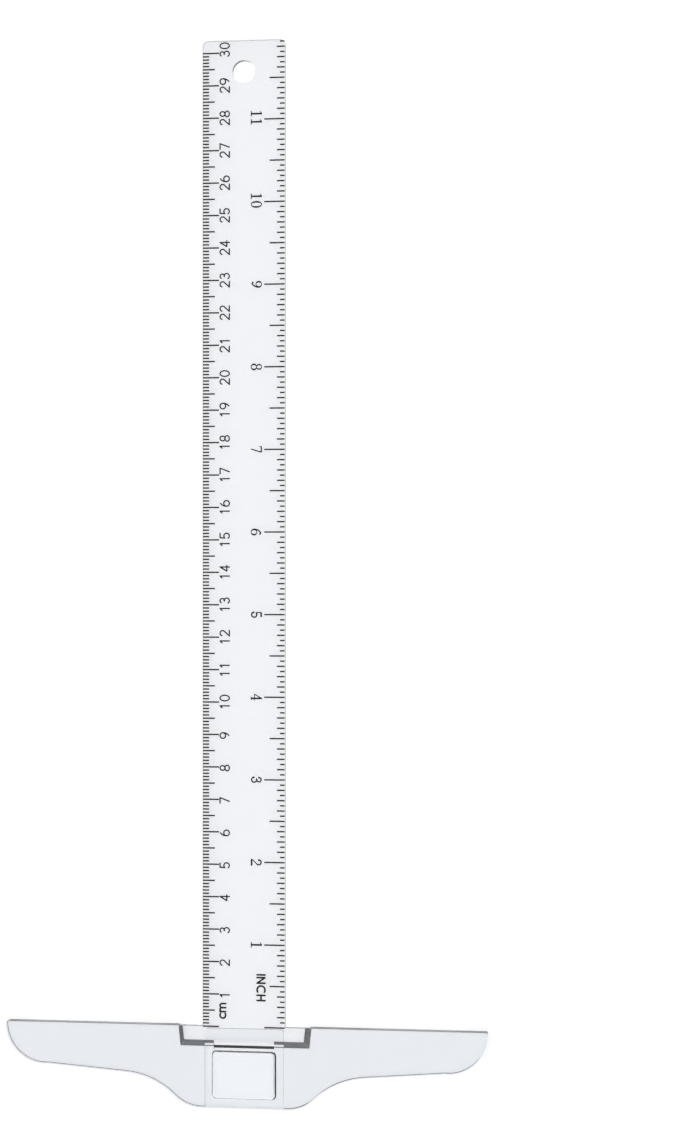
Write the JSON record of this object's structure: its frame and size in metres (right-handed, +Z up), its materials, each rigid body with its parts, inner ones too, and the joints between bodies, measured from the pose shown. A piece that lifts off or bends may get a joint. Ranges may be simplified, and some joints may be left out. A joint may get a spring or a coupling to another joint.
{
  "type": "t square",
  "caption": "Clear junior T square: a rule with metric and inch scales that plugs, through a dovetail foot and snap pad, into a clear head with curved wings.",
  "frame": {"origin": "the middle of the footprint, on the surface that the head's underside lies on; the head's working edge is at Y = -139.4 mm, and the blade's centre line is at X = 0", "axes": "+X along the head to the right, +Y along the blade away from the head, +Z up from the paper"},
  "size_m": [0.15, 0.329, 0.0033],
  "materials": {
    "clear_plastic": "clear",
    "black_ink": "matte"
  },
  "bodies": {
    "blade": {"blade": "clear_plastic", "millimetre_ticks": "black_ink", "half_centimetre_ticks": "black_ink", "centimetre_ticks": "black_ink", "centimetre_numerals": "black_ink", "centimetre_label": "black_ink", "sixteenth_inch_ticks": "black_ink", "eighth_inch_ticks": "black_ink", "half_inch_ticks": "black_ink", "inch_ticks": "black_ink", "inch_numerals": "black_ink", "inch_label": "black_ink"},
    "head": {"head": "clear_plastic"}
  },
  "joints": [
    {"name": "head_pull_off", "type": "slide", "parent": "blade", "child": "head", "axis": [0, -1, 0], "range_m": [0, 0.03]}
  ]
}
